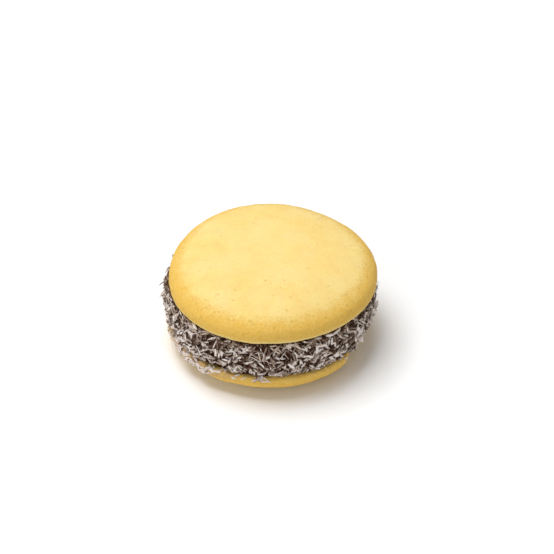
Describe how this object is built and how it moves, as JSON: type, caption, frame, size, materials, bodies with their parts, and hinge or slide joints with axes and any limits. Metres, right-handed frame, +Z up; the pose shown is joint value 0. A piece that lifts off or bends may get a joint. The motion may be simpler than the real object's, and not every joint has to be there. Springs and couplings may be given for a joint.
{
  "type": "alfajor cookie",
  "caption": "Round sandwich biscuit: two domed pale yellow cornflour biscuits around dark milk caramel, its side coated in grated coconut.",
  "frame": {"origin": "middle of the bounding box at the level of the flat spot that the sandwich stands on", "axes": "+Z up through the stack of biscuit, caramel and biscuit; -Y faces the viewer in the reference view"},
  "size_m": [0.0622, 0.062, 0.0297],
  "materials": {
    "biscuit": "matt baked crumb, pale golden yellow, finely grained and pitted",
    "caramel": "sticky, softly glossy, very dark brown",
    "coconut": "dry off-white shreds"
  },
  "bodies": {
    "root": {"biscuit_bottom": "biscuit", "caramel_filling": "caramel", "coconut_coat": "coconut", "biscuit_top": "biscuit"}
  },
  "joints": []
}
